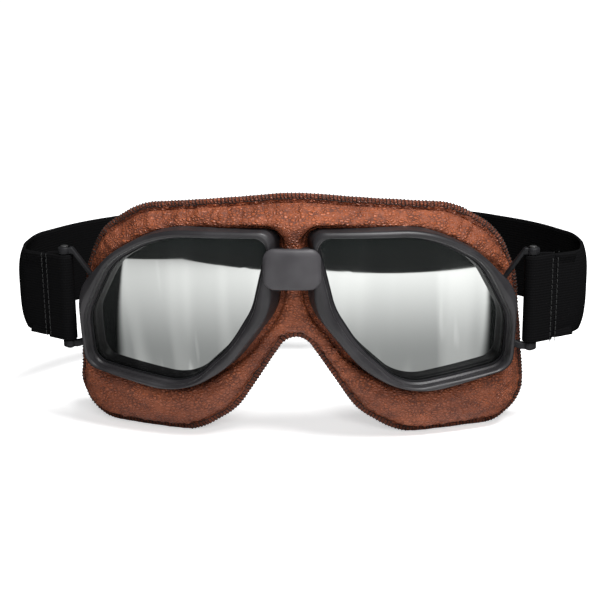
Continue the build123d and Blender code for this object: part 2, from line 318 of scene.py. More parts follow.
class Surface:
    def __init__(self, name, colour, roughness, **fixed):
        self.material = bpy.data.materials.new(name)
        self.material.use_nodes = True
        self.tree = self.material.node_tree
        self.shader = self.tree.nodes["Principled BSDF"]
        self.set("Base Color", colour)
        self.set("Roughness", roughness)
        for key, value in fixed.items():
            self.set(key.replace("_", " "), value)

    def set(self, name, value):
        self.link(self.shader.inputs[name], value)

    def link(self, socket, value):
        if isinstance(value, Num):
            self.tree.links.new(value.socket, socket)
        elif isinstance(value, (tuple, list)) and len(value) == 3 and socket.type == "RGBA":
            socket.default_value = (*value, 1)
        else:
            socket.default_value = value

    def node(self, kind, settings=None, inputs=None, out=0):
        made = self.tree.nodes.new(kind)
        for key, value in (settings or {}).items():
            setattr(made, key, value)
        for key, value in (inputs or {}).items():
            self.link(made.inputs[key], value)
        return Num(self, made.outputs[out])

    def place(self, stretch=(1, 1, 1)):
        """Object coordinates in millimetres, stretched along an axis where asked."""
        at = self.node("ShaderNodeTexCoord", out="Object")
        scale = tuple(1000 * s for s in stretch)
        return self.node("ShaderNodeMapping", inputs={"Vector": at, "Scale": scale})

    def uv(self):
        return self.node("ShaderNodeTexCoord", out="UV")

    def noise(self, at, scale, detail=2.0, rough=0.5):
        return self.node(
            "ShaderNodeTexNoise", inputs={"Vector": at, "Scale": scale, "Detail": detail, "Roughness": rough},
        )

    def cells(self, at, scale, feature="F1"):
        return self.node("ShaderNodeTexVoronoi", {"feature": feature}, {"Vector": at, "Scale": scale})

    def mix(self, amount, first, second):
        return self.node("ShaderNodeMix", {"data_type": "RGBA"}, {0: amount, 6: first, 7: second}, 2)

    def bump(self, height, strength, depth):
        """Relief from a height in millimetres times depth."""
        inputs = {"Height": height, "Strength": strength, "Distance": depth * MM}
        self.set("Normal", self.node("ShaderNodeBump", inputs=inputs))


# %% [markdown]
# The leather is pebbled: rounded grains about 1.5 mm across with fine creases between them, in a
# warm reddish brown. The grain is Voronoi cells, higher away from their edges. Slow noise varies
# the dye. The creases carry painted shade, stronger in patches. The sewn edge is the same hide,
# darker, because its cut sides and the thread's wax stain it.


# %% Leather
def leather(name, deep, warm, crease_shade):
    s = Surface(name, warm, 0.45, Specular_IOR_Level=0.36)
    at = s.place((1, 1, 1.5))
    drift = s.node("ShaderNodeTexNoise", inputs={"Vector": at, "Scale": 0.55, "Detail": 2.0}, out=1)
    bend = s.node("ShaderNodeVectorMath", {"operation": "SCALE"}, {0: drift, "Scale": 1.3})
    at = s.node("ShaderNodeVectorMath", {"operation": "ADD"}, {0: at, 1: bend})
    grain = s.cells(at, 0.60, "DISTANCE_TO_EDGE")
    fine = s.cells(at, 1.9)
    pits = s.noise(at, 2.4, 3.0)
    crease = 1 - grain.step(0.02, 0.24)
    height = grain.step(0.0, 0.42) + (1 - fine.step(0.0, 0.8)) * 0.22 + pits * 0.2
    slow = s.noise(at, 0.05, 3.0).step(0.3, 0.72)
    patchiness = s.noise(at, 0.22, 2.0).step(0.36, 0.66)
    # Painted shade: the creases are darker than the grain tops, more so in patches.
    s.set("Base Color", s.mix(crease * (0.38 + patchiness * 0.5), s.mix(slow, deep, warm), crease_shade))
    s.set("Roughness", 0.33 + crease * 0.3 + pits * 0.12)
    s.bump(height, 1.0, 0.42)
    return s.material


def thread(name, colour):
    s = Surface(name, colour, 0.7)
    at = s.place()
    s.bump(s.noise(at, 6.0), 0.4, 0.1)
    shaded = tuple(c * 0.45 for c in colour)
    s.set("Base Color", s.mix(s.noise(at, 3.0).step(0.3, 0.8), colour, shaded))
    return s.material


# The third colour of each leather is the painted shade in its creases.
hide = leather("pebbled_leather", (0.180, 0.044, 0.0160), (0.325, 0.088, 0.034), (0.055, 0.013, 0.006))
edge_hide = leather("edge_leather", (0.135, 0.033, 0.013), (0.225, 0.058, 0.024), (0.050, 0.014, 0.007))
seam_thread = thread("overlock_thread", (0.016, 0.008, 0.007))
strap_thread = thread("strap_thread", (0.008, 0.008, 0.0085))


# %% [markdown]
# The frames are moulded in dark grey plastic with a soft satin skin: a fine spark texture, and
# slow patches a little lighter than the rest. Gaskets and retaining rings are plain black; the
# rims' arms and bosses get that black too, as painted shade.

# %% Plastics, rubber and metal
def moulded(name, colour, rough, speck=0.10, patchiness=0.0, gloss=0.5):
    s = Surface(name, colour, rough, Specular_IOR_Level=gloss)
    at = s.place()
    fine = s.noise(at, 3.2, 4.0, 0.65)
    cloud = s.noise(at, 0.08, 2.0)
    light = tuple(min(1, c * 1.35 + 0.004) for c in colour)
    s.set("Base Color", s.mix(cloud.step(0.35, 0.7), colour, light))
    s.set("Roughness", rough - 0.06 + fine * 0.14 + cloud * patchiness)
    s.bump(fine, 0.35, speck)
    return s.material


frame_plastic = moulded("frame_plastic", (0.0160, 0.0150, 0.0165), 0.36, patchiness=0.08, gloss=0.28)
saddle_plastic = moulded("saddle_plastic", (0.034, 0.032, 0.035), 0.44, patchiness=0.08, gloss=0.32)
black_plastic = moulded("slider_plastic", (0.010, 0.010, 0.011), 0.32, gloss=0.4)
gasket_rubber = moulded("gasket_rubber", (0.005, 0.005, 0.006), 0.65, gloss=0.15)
ring_plastic = moulded("ring_plastic", (0.006, 0.006, 0.007), 0.5, gloss=0.15)
pin_metal = moulded("blackened_pin", (0.02, 0.02, 0.02), 0.35, 0.03)


# %% [markdown]
# The lens is smoke plastic with a thin silver flash. It mirrors what is in front of it, so its
# look comes mostly from the room: a bright table, and darkness above it. The flash's colour is
# also painted brighter towards the top and with faint upright streaks: painted reflection of the
# table, whose far part is brighter.

# %% Lens
def flash_mirror():
    s = Surface("flash_mirror", (0.45, 0.47, 0.46), 0.05, Metallic=0.98)
    at = s.place((1, 1, 0.07))
    height = s.node("ShaderNodeSeparateXYZ", inputs={0: s.place()}, out=2)
    reflection_streaks = s.noise(at, 0.085, 1.0).step(0.38, 0.66)
    bright_reflection_streak = s.noise(at, 0.17, 1.0).step(0.60, 0.72)
    # Painted reflection: brighter upwards, like the far table that the top reflects, and in upright streaks.
    amount = height.step(34.0, 84.0) * 0.74 + reflection_streaks * 0.16 + bright_reflection_streak * 0.16
    s.set("Base Color", s.mix(amount, (0.165, 0.172, 0.168), (0.72, 0.735, 0.715)))
    s.set("Roughness", 0.03 + reflection_streaks * 0.02)
    return s.material


lens_mirror = flash_mirror()


# %% [markdown]
# The strap is woven elastic: fine cords run along it, and the weft crosses them. Both follow the
# strap's own UV map, which is in millimetres along and across it.

# %% Webbing
def webbing():
    s = Surface("elastic_webbing", (0.004, 0.004, 0.0045), 0.9, Specular_IOR_Level=0.05)
    parts = s.node("ShaderNodeSeparateXYZ", inputs={0: s.uv()}).socket.node
    along, over = Num(s, parts.outputs[0]), Num(s, parts.outputs[1])
    cords = (over * (2 * pi / 1.1)).sine() * 0.5 + 0.5
    weft = (along * (2 * pi / 0.8) + cords * 1.6).sine() * 0.5 + 0.5
    lint = s.noise(s.place(), 1.3, 3.0)
    height = cords * 0.7 + weft * 0.3
    # Painted shade: the colour is darker down between the cords and the weft than on their tops.
    low, high = (0.0011, 0.0011, 0.0012), (0.0040, 0.0039, 0.0043)
    s.set("Base Color", s.mix(height * 0.7 + lint * 0.3, low, high))
    s.set("Roughness", 0.78 + lint * 0.15)
    s.bump(height, 0.5, 0.16)
    return s.material


elastic = webbing()
print("materials", len(bpy.data.materials))


# %% [markdown]
# Each rim is one moulded ring: the outer wall slopes in towards the lip, the lip is a softly
# ridged band that is widest beside the nose, and the inner wall drops to the ledge over the
# gasket. All of it is a loft through rings of the same point count.

# %% Rims
lip_inset, pocket_out, pocket_radius = 1.0, 1.6, 153.6


def rim_ring(name, side):
    foot, lip = eye_outline(rim_corners), eye_outline(rim_corners, lip_inset, lip_shares)
    sight, mouth = eye_outline(sight_corners), eye_outline(sight_corners, lip_inset, mouth_shares)
    pocket = eye_outline(sight_corners, -pocket_out)
    rings = []

    def add(ring, radius):
        rings.append([eye_place(side, p.x, p.y, radius) for p in ring])

    for radius in (back_radius, 150, 154, 157.6, 158.6):
        add(wall_ring(foot, lip, radius), radius)
    outer, inner = wall_ring(foot, lip, front_radius), wall_ring(sight, mouth, front_radius)
    ridge = (
        (0.07, 159.25), (0.18, 159.65), (0.36, 159.82), (0.47, 159.97), (0.55, 159.97), (0.66, 159.72),
        (0.86, 159.45), (0.96, 159.0),
    )
    for share, radius in ridge:
        add([a.lerp(b, share) for a, b in zip(outer, inner)], radius)
    for radius in (158.4, 156.5, 155.35):
        add(wall_ring(sight, mouth, radius), radius)
    add(sight, ledge_radius)
    add(sight, 153.7)
    add(pocket, pocket_radius)
    add(pocket, back_radius)
    obj = loft(name, rings, along=True)
    obj.data.materials.append(frame_plastic)
    return obj


def bar(name, outline_points, low_y, high_y):
    """A flat piece cut from an outline in the XZ plane, with softened edges."""
    bm = bmesh.new()
    front = [bm.verts.new((x * MM, low_y * MM, z * MM)) for x, z in outline_points]
    back = [bm.verts.new((x * MM, high_y * MM, z * MM)) for x, z in outline_points]
    bm.faces.new(front)
    bm.faces.new(back[::-1])
    for i in range(len(front)):
        j = (i + 1) % len(front)
        bm.faces.new((front[j], front[i], back[i], back[j]))
    bmesh.ops.recalc_face_normals(bm, faces=bm.faces)
    bmesh.ops.bevel(bm, geom=bm.edges[:], offset=0.5 * MM, segments=2, profile=0.5, affect="EDGES")
    return finish_mesh(name, bm)


def tube_upright(name, x, y, low, high, radius):
    sides, soft = 28, 0.35
    angles = [2 * pi * k / sides for k in range(sides)]
    rings = []
    for z, r in ((low, radius - soft), (low + soft, radius), (high - soft, radius), (high, radius - soft)):
        rings.append([Vector((x + r * cos(t), y + r * sin(t), z)) * MM for t in angles])
    return loft(name, rings, caps=True)


pin_x, pin_y = 94.8, front_y + 27.0
swing_gap, boss_height, boss_radius, elbow_x = 0.3, 2.8, 2.7, 91.25
arm_half, arm_front, arm_back = 1.5, 1.6, 1.45
boss_low = strap_z - strap_width / 2 - swing_gap - boss_height
boss_high = strap_z + strap_width / 2 + swing_gap
for side, word in ((1, "right"), (-1, "left")):
    pieces = [rim_ring(word + "_rim_ring", side)]
    for root_x, root_z, boss in ((86.6, boss_low + 3.0, boss_low), (82.4, boss_high - 11.4, boss_high)):
        corners = [
            (root_x, root_z - arm_half), (elbow_x, boss), (pin_x, boss), (pin_x, boss + boss_height),
            (elbow_x, boss + boss_height), (root_x, root_z + arm_half),
        ]
        corners = [(side * x, z) for x, z in corners]
        pieces.append(bar(word + "_arm", corners, pin_y - arm_front, pin_y + arm_back))
        boss_name = word + "_boss"
        pieces.append(tube_upright(boss_name, side * pin_x, pin_y, boss, boss + boss_height, boss_radius))
    # The arms and bosses are moulded with the rim, but are given the darker black plastic: painted shade.
    for piece in pieces[1:]:
        piece.data.materials.append(ring_plastic)
    rim = joined(word + "_moulded_rim", pieces)
    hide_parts(word + "_rim")
    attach(rim, "goggles")
    print(rim.name, len(rim.data.polygons), "faces")


# %% [markdown]
# Behind the ledge sit the gasket, of which only a thin black line shows, the lens, and a ring
# that holds it from behind. The lens is a smooth patch of a sphere, so its reflection bends
# without facets: rings of one outline shrink towards its middle.

# %% Gaskets, lenses and retaining rings
seat_gap, gasket_thick, lens_thick = 0.15, 0.8, 2.0
seat_out = pocket_out - seat_gap
lens_radius = pocket_radius - gasket_thick
ring_radius = lens_radius - lens_thick
ring_thick = ring_radius - back_radius


def eye_band(name, side, inner_inset, front, thick, material):
    outer, inner = eye_outline(sight_corners, -seat_out), eye_outline(sight_corners, inner_inset)
    rings = [
        [eye_place(side, p.x, p.y, r) for p in ring]
        for ring, r in ((outer, front), (inner, front), (inner, front - thick), (outer, front - thick))
    ]
    obj = loft(name, rings, along=True)
    obj.data.materials.append(material)
    return obj


def lens_patch(name, side, front, thick):
    edge = eye_outline(sight_corners, -seat_out)
    middle, ring_count = Vector((2.0, -6.0)), 30
    shares = [k / ring_count for k in range(1, ring_count + 1)]
    rings = [[eye_place(side, *middle, front)] * len(edge)]
    for radius, order in ((front, shares), (front - thick, shares[::-1])):
        for share in order:
            rings.append([eye_place(side, *middle.lerp(p, share), radius) for p in edge])
    rings.append([eye_place(side, *middle, front - thick)] * len(edge))
    bm = bmesh.new()
    join_rings(bm, rings)
    bmesh.ops.remove_doubles(bm, verts=bm.verts, dist=2e-6)
    bmesh.ops.dissolve_degenerate(bm, dist=1e-6, edges=bm.edges)
    obj = finish_mesh(name, bm)
    obj.data.materials.append(lens_mirror)
    return obj


for side, word in ((1, "right"), (-1, "left")):
    gasket = eye_band(word + "_rubber_gasket", side, 0.5, pocket_radius, gasket_thick, gasket_rubber)
    lens = lens_patch(word + "_flash_lens", side, lens_radius, lens_thick)
    back_ring = eye_band(word + "_back_ring", side, 0.0, ring_radius, ring_thick, ring_plastic)
    pieces = {
        "gasket": (gasket, "gasket_rubber"), "lens": (lens, "lens_mirror"),
        "retaining_ring": (back_ring, "ring_plastic"),
    }
    for node, (piece, slot) in pieces.items():
        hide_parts(f"{word}_{node}")
        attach(piece, "goggles")
        print(piece.name, len(piece.data.polygons), "faces")


def dress(node, material):
    """Gives a CAD piece that stays in sight its material."""
    nodes[node].data.materials.clear()
    nodes[node].data.materials.append(material)


for word in ("left", "right"):
    dress(word + "_strap_pin", pin_metal)

# %% [markdown]
# The bridge is a plain bar between the rims with a saddle-shaped cover over it. The cover is
# crowned: its face falls back towards both sides, and its edge rolls over.

# %% Bridge
cover_width, cover_height, cover_top = 22.4, 16.2, 82.4
half_w, half_h = cover_width / 2, cover_height / 2
corner_radius, side_fall, end_fall, edge_roll = 4.6, 1.1, 0.35, 1.4
corners = [(x * half_w, z * half_h, corner_radius) for x, z in ((-1, 1), (1, 1), (1, -1), (-1, -1))]
rings = []
crown = (
    (0, 0.6), (0, -0.6), (0.15, -1.4), (0.6, -2.0), (1.3, -2.35), (2.6, -2.5), (4.4, -2.58), (6.5, -2.6),
    (8.0, -2.6),
)
for inset, depth in crown:
    scale_x, scale_z = 1 - inset / half_w, 1 - inset / half_h
    ring = []
    for p in rounded(corners, 10, 8):
        x, z = p.x * scale_x, p.y * max(scale_z, 0.02)
        fall = side_fall * (x / half_w) ** 2 + end_fall * (z / half_h) ** 2 if depth < 0 else 0
        y = front_y + depth + fall * min(1, -depth / edge_roll)
        ring.append(Vector((x, y, cover_top - half_h + z)) * MM)
    rings.append(ring)
saddle = loft("bridge_saddle", rings, caps=True)
saddle.data.materials.append(saddle_plastic)
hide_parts("bridge_cover")
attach(saddle, "goggles")
dress("bridge_bar", frame_plastic)
print(saddle.name, len(saddle.data.polygons), "faces")


# %% [markdown]
# The face pad is leather pulled over foam. Its foam core gives the shape: a copy is remeshed
# finely, swells a little as cloth under pressure while the parts under the rims are pinned, and
# is then pushed out to the leather's face, tucked in beside the rims and pinched at the seam.
# The helpers here measure how far a point lies from a rim and from the seam.

# %% Distances that steer the leather
rim_line = np.array([(p.x, p.y) for p in eye_outline(rim_corners)])
pad_line = np.array([(p.x, p.y) for p in pad_outline(3.0, 40, 60)])


def outside(points, line):
    """Signed distance from each point to a closed outline, positive outside."""
    a, b = line, np.roll(line, -1, axis=0)
    ab = b - a
    length2 = (ab**2).sum(1) + 1e-12
    result = np.empty(len(points))
    for start in range(0, len(points), 4000):
        p = points[start:start + 4000, None, :]
        t = np.clip(((p - a) * ab).sum(2) / length2, 0, 1)
        nearest = a + t[..., None] * ab
        gap = np.sqrt(((p - nearest) ** 2).sum(2)).min(1)
        above = (a[:, 1] > p[..., 1]) != (b[:, 1] > p[..., 1])
        crossing = a[:, 0] + (p[..., 1] - a[:, 1]) * ab[:, 0] / np.where(ab[:, 1] == 0, 1e-9, ab[:, 1])
        inside = ((above & (p[..., 0] < crossing)).sum(1) % 2) == 1
        result[start:start + 4000] = np.where(inside, -gap, gap)
    return result


def run_along(points, line):
    """How far round a closed outline the nearest place is, in millimetres."""
    steps = np.linalg.norm(np.roll(line, -1, axis=0) - line, axis=1)
    travelled = np.concatenate([[0], np.cumsum(steps)[:-1]])
    result = np.empty(len(points))
    for start in range(0, len(points), 4000):
        p = points[start:start + 4000, None, :]
        result[start:start + 4000] = travelled[((p - line) ** 2).sum(2).argmin(1)]
    return result


def eye_frame(co):
    """Each point in its own side's eye frame: across, up and out, in millimetres."""
    folded = co / MM
    folded[:, 0] = np.abs(folded[:, 0])
    d = folded - np.array(eye_centre)
    return np.stack([d @ np.array(across_eye), d[:, 2], d @ np.array(out_of_eye)], 1)


def seam_y(x):
    return front_y + seam_depth + seam_radius - np.sqrt(seam_radius**2 - x**2)


# %% [markdown]
# The swelling is a cloth simulation with a small pressure and no gravity. It only takes the
# stiffness off the foam's form, by a fraction of a millimetre, and it holds still at the rims.

# %% Swell the pad
def coords(obj):
    co = np.empty(len(obj.data.vertices) * 3)
    obj.data.vertices.foreach_get("co", co)
    return co.reshape(-1, 3)


def put(obj, co):
    obj.data.vertices.foreach_set("co", co.reshape(-1))
    obj.data.update()


def normals(obj):
    n = np.empty(len(obj.data.vertices) * 3)
    obj.data.vertices.foreach_get("normal", n)
    return n.reshape(-1, 3)


grid_pitch, most_swell, cloth_frames = 1.6, 2.6, 20
bm = bmesh.new()
bm.from_mesh(nodes["foam_core"].data)
bmesh.ops.remove_doubles(bm, verts=bm.verts, dist=1e-5)
pad = linked("leather_pad", bm)
remesh = pad.modifiers.new("even grid", "REMESH")
remesh.mode, remesh.voxel_size = "VOXEL", grid_pitch * MM
pad = baked(pad, "leather_pad")
rest = coords(pad)
eye = eye_frame(rest)
rim_gap = outside(eye[:, :2], rim_line)
held = np.clip(1 - (rim_gap - 1.5) / 6.0, 0, 1)
held = np.where((eye[:, 2] < -34) & (rim_gap < 2), np.minimum(held, 0.6), held)
group = pad.vertex_groups.new(name="held")
for i in range(len(rest)):
    group.add([i], float(max(held[i], 0.02)), "REPLACE")
cloth = pad.modifiers.new("swell", "CLOTH")
cloth.settings.quality = 4
cloth.settings.mass = 0.25
cloth.settings.tension_stiffness = cloth.settings.compression_stiffness = 12
cloth.settings.shear_stiffness = 8
cloth.settings.bending_stiffness = 0.6
cloth.settings.use_pressure = True
cloth.settings.uniform_pressure_force = 3.0
cloth.settings.effector_weights.gravity = 0
cloth.settings.vertex_group_mass = "held"
cloth.settings.pin_stiffness = 1.0
cloth.collision_settings.use_collision = False
cloth.point_cache.frame_start, cloth.point_cache.frame_end = 1, cloth_frames
for step in range(1, cloth_frames + 1):
    bpy.context.scene.frame_set(step)
pad = baked(pad, "leather_pad")
bpy.context.scene.frame_set(1)
move = coords(pad) - rest
length = np.sqrt((move**2).sum(1))
cap = most_swell * MM * (1 - held)
move *= np.minimum(1, cap / np.maximum(length, 1e-9))[:, None]
put(pad, rest + move)
print("swell", round(length.max() / MM, 2), "mm at most, capped at", most_swell)

# %% [markdown]
# One subdivision smooths the grid. Then every point goes out to the leather's face. Beside a rim
# the front tucks in and rolls up again, above the rims it stands forward as a brow, and at the
# seam the two halves are pinched together. Near the upper corners and along the seam the
# gathered leather has short folds that run outwards. Behind the top seam the pad shows a crest.

# %% Shape the leather's face
smooth = pad.modifiers.new("smooth", "SUBSURF")
smooth.levels = smooth.render_levels = 1
pad = baked(pad, "leather_pad")
face_rise, tuck_depth, roll_rise, pinch_depth = 1.1, 1.7, 0.9, 0.9
brow_rise, cheek_rise, crest_rise = 4.8, 1.2, 2.8
co, n = coords(pad), normals(pad)
eye = eye_frame(co)
rim_gap = outside(eye[:, :2], rim_line)
co = co + n * (face_rise * MM)
depth = co[:, 1] / MM - seam_y(co[:, 0] / MM)
facing = np.clip(-n[:, 1], 0, 1)
front = np.clip(facing * 1.6, 0, 1) * (depth < 0)
gap = np.maximum(rim_gap, 0)
edge_gap = -outside(co[:, [0, 2]] / MM, pad_line)
seam_run = run_along(co[:, [0, 2]] / MM, pad_line)


def ease(value, low, high):
    t = np.clip((value - low) / (high - low), 0, 1)
    return t * t * (3 - 2 * t)


tuck = roll_rise * np.exp(-(((gap - 4.5) / 2.8) ** 2)) - tuck_depth * np.exp(-((gap / 1.2) ** 2))
above = ease(eye[:, 1], -4, 20) * ease(edge_gap, 1.0, 8.0)
tuck = tuck * ease(rim_gap, -1.6, -0.3) * (1 - 0.8 * above)
fold = np.zeros(len(co))
for i in np.nonzero((front > 0.05) & (rim_gap > 0))[0]:
    side_sign = 1 if co[i, 0] > 0 else -1
    angle = atan2(eye[i, 1], eye[i, 0])
    gather = noise.noise(Vector((angle * 9.0, rim_gap[i] * 0.05, side_sign * 7.3)))
    ripple = noise.noise(Vector((angle * 21.0, rim_gap[i] * 0.08, side_sign * 3.1 + 40)))
    soft = noise.noise(Vector(co[i] * 45.0))
    upper = max(0.0, sin(angle)) if eye[i, 0] > -20 else 0.0
    at_seam = exp(-((edge_gap[i] / 5.5) ** 2))
    pucker = noise.noise(Vector((seam_run[i] * 0.42, edge_gap[i] * 0.10, 11.0))) * at_seam
    fold[i] = 0.6 * soft + (0.3 + 0.8 * upper) * gather + (0.12 + 0.38 * upper) * ripple + 1.1 * pucker
fold = fold * (0.35 + 0.65 * ease(rim_gap, 0.0, 4.0))
co = co + n * ((tuck + fold) * front * MM)[:, None]
brow = brow_rise * ease(rim_gap, -3.4, 0.4) * above * front
cheek = cheek_rise * ease(rim_gap, 1.5, 7.0) * ease(edge_gap, 1.0, 8.0) * ease(-eye[:, 1], 25, 42) * front
co[:, 1] -= (brow + cheek) * MM
top_middle = ease(co[:, 2] / MM, 84, 93) * (1 - ease(np.abs(co[:, 0]) / MM, 26, 50))
crest = crest_rise * top_middle * np.exp(-(((depth - 6.5) / 4.5) ** 2))
co[:, 2] += crest * (depth > 1.0) * MM
pinch = np.exp(-((depth / 2.2) ** 2)) * np.clip((4.0 - np.abs(edge_gap)) / 3.0, 0, 1)
co = co - n * (pinch * pinch_depth * MM)[:, None]
for i in np.nonzero((front <= 0.05) & (rim_gap > 1.5))[0]:
    co[i] += n[i] * (0.5 * MM * noise.noise(Vector(co[i] * 38.0)))
co[:, 2] = np.maximum(co[:, 2], 0.0)
put(pad, co)
for polygon in pad.data.polygons:
    polygon.use_smooth = True
pad.data.materials.append(hide)
print("pad", len(pad.data.vertices), "vertices, from", coords(pad).min(0), "to", coords(pad).max(0))


# %% [markdown]
# The two leathers are sewn edge to edge, and their flat edges stand out as a thin rim round the
# whole pad. It is a strip that follows the pad's outline and the seam's curve, a little wavy at
# its free edge. The stain of the cut side reaches 2 mm in, and past it the strip has the pad's
# own colour.

# %% Sewn edge
def seam_out(x):
    """Straight out from the seam's curved surface, towards the front."""
    return Vector((x / seam_radius, -sqrt(1 - (x / seam_radius) ** 2), 0))


def seam_point(p, lift):
    """A place on the seam's curved surface, lifted forwards."""
    return Vector((p.x, float(seam_y(p.x)), max(p.y, 0.02))) + seam_out(p.x) * lift


def even_steps(line, whole):
    """Points about 1 mm apart from end to end of a line, and its length. whole rounds the count."""
    lengths = [0.0]
    for a, b in zip(line, line[1:]):
        lengths.append(lengths[-1] + (b - a).length)
    steps = whole(lengths[-1])
    result, k = [], 0
    for i in range(steps + 1):
        target = min(lengths[-1] * i / steps, lengths[-1] - 1e-9)
        while lengths[k + 1] < target:
            k += 1
        span = max(lengths[k + 1] - lengths[k], 1e-9)
        result.append(line[k].lerp(line[k + 1], (target - lengths[k]) / span))
    return result, lengths[-1]


edge_line = pad_outline(0.0, 30, 30)
edge_path = even_steps(edge_line + edge_line[:1], round)[0][:-1]
count = len(edge_path)
inward = []
for i in range(count):
    t = (edge_path[(i + 3) % count] - edge_path[i - 3]).normalized()
    inward.append(Vector((t.y, -t.x)))
wave = [
    0.75 * noise.noise(Vector((p.x * 0.11, p.y * 0.11, 2.0)))
    + 0.3 * noise.noise(Vector((p.x * 0.35, p.y * 0.35, 5.0))) for p in edge_path
]
stain_reach = 2.0
section = [(5.0, 0.85), (3.0, 0.9), (stain_reach, 0.91), (1.4, 0.92), (0.45, 0.72), (0.05, 0.3)]
section += [(inset, -lift) for inset, lift in section[::-1]]
rings = []
for inset, lift in section:
    free = max(0.0, 1 - inset / 4.0)
    ring = [seam_point(p + q * inset, lift + w * free) * MM for p, q, w in zip(edge_path, inward, wave)]
    rings.append(ring)
hem = loft("sewn_edge", rings, along=True)
hem.data.materials.append(edge_hide)
hem.data.materials.append(hide)
insets = [inset for inset, lift in section]
clean_rows = [k for k in range(len(insets)) if min(insets[k], insets[k - len(insets) + 1]) >= stain_reach]
for polygon in hem.data.polygons:
    polygon.material_index = int(polygon.index // count in clean_rows)
print("edge", count, "mm round,", sum(f.material_index for f in hem.data.polygons), "faces without stain")

# %% [markdown]
# An overlock stitch binds that edge. One stitch is modelled, and Geometry Nodes set it along a
# path. The path carries the directions that each stitch needs as attributes.


# %% Stitch tool
def thread_run(name, points, radius):
    """A thin tube along the points, with each ring turned to match the one before."""
    sides = 5
    rings = []
    for i, p in enumerate(points):
        t = (points[min(i + 1, len(points) - 1)] - points[max(i - 1, 0)]).normalized()
        a = t.orthogonal().normalized()
        b = t.cross(a)
        turns = [2 * pi * k / sides for k in range(sides)]
        rings.append([(p + (a * cos(turn) + b * sin(turn)) * radius) * MM for turn in turns])
    aligned = [rings[0]]
    for ring in rings[1:]:
        before = aligned[-1]
        gaps = [sum((ring[(k + s) % sides] - before[k]).length for k in range(sides)) for s in range(sides)]
        best = gaps.index(min(gaps))
        aligned.append([ring[(k + best) % sides] for k in range(sides)])
    return loft(name, aligned, caps=True)


def stitch_tree(stitch, material):
    """Sets a stitch along a path at a pitch, facing the way that the path's attributes say."""
    tree = bpy.data.node_groups.new("stitch_row", "GeometryNodeTree")
    face = tree.interface
    face.new_socket("Path", in_out="INPUT", socket_type="NodeSocketGeometry")
    pitch = face.new_socket("Pitch", in_out="INPUT", socket_type="NodeSocketFloat")
    spread = face.new_socket("Spread", in_out="INPUT", socket_type="NodeSocketFloat")
    seed = face.new_socket("Seed", in_out="INPUT", socket_type="NodeSocketInt")
    face.new_socket("Stitches", in_out="OUTPUT", socket_type="NodeSocketGeometry")

    def add(kind, inputs=None, **settings):
        node = tree.nodes.new(kind)
        for key, value in settings.items():
            setattr(node, key, value)
        for key, value in (inputs or {}).items():
            if isinstance(value, bpy.types.NodeSocket):
                tree.links.new(value, node.inputs[key])
            else:
                node.inputs[key].default_value = value
        return node

    start = add("NodeGroupInput")
    curve = add("GeometryNodeMeshToCurve", {"Mesh": start.outputs["Path"]})
    spacing = {"Curve": curve.outputs[0], "Length": start.outputs["Pitch"]}
    even_curve = add("GeometryNodeResampleCurve", spacing, mode="LENGTH")
    directions = [
        add("GeometryNodeInputNamedAttribute", {"Name": word}, data_type="FLOAT_VECTOR").outputs["Attribute"]
        for word in ("inward", "lift")
    ]
    turn = add("FunctionNodeAxesToRotation", {"Primary Axis": directions[0], "Secondary Axis": directions[1]},
               primary_axis="Y", secondary_axis="Z")
    low, high = (
        add("ShaderNodeMath", {0: 1.0, 1: start.outputs["Spread"]}, operation=way).outputs[0]
        for way in ("SUBTRACT", "ADD")
    )
    limits = {2: low, 3: high, "Seed": start.outputs["Seed"]}
    sizes = add("FunctionNodeRandomValue", limits, data_type="FLOAT")
    source = add("GeometryNodeObjectInfo", {"Object": stitch})
    placed = add("GeometryNodeInstanceOnPoints", {
        "Points": even_curve.outputs[0], "Instance": source.outputs["Geometry"], "Rotation": turn.outputs[0],
        "Scale": sizes.outputs[1],
    })
    real = add("GeometryNodeRealizeInstances", {"Geometry": placed.outputs[0]})
    dressed = add("GeometryNodeSetMaterial", {"Geometry": real.outputs[0], "Material": material})
    add("NodeGroupOutput", {0: dressed.outputs[0]})
    return tree, (pitch.identifier, spread.identifier, seed.identifier)


def stitch_row(name, points, inwards, lifts, stitch, material, pitch, closed=True, spread=0.06):
    mesh = bpy.data.meshes.new(name)
    edges = [(i, (i + 1) % len(points)) for i in range(len(points) if closed else len(points) - 1)]
    mesh.from_pydata(points, edges, [])
    for word, values in (("inward", inwards), ("lift", lifts)):
        data = mesh.attributes.new(word, "FLOAT_VECTOR", "POINT").data
        for item, value in zip(data, values):
            item.vector = value
    row = in_scene(name, mesh)
    tree, (pitch_id, spread_id, seed_id) = stitch_tree(stitch, material)
    sew = row.modifiers.new("sew", "NODES")
    sew.node_group = tree
    sew[pitch_id], sew[spread_id], sew[seed_id] = pitch * MM, spread, 11
    made = baked(row, name)
    for polygon in made.data.polygons:
        polygon.use_smooth = True
    return made


# %% [markdown]
# Every millimetre and a half the thread goes over the edge, and a chain runs along its inner
# side. A stitch's points are in millimetres: along the edge, in from it, and off its middle.

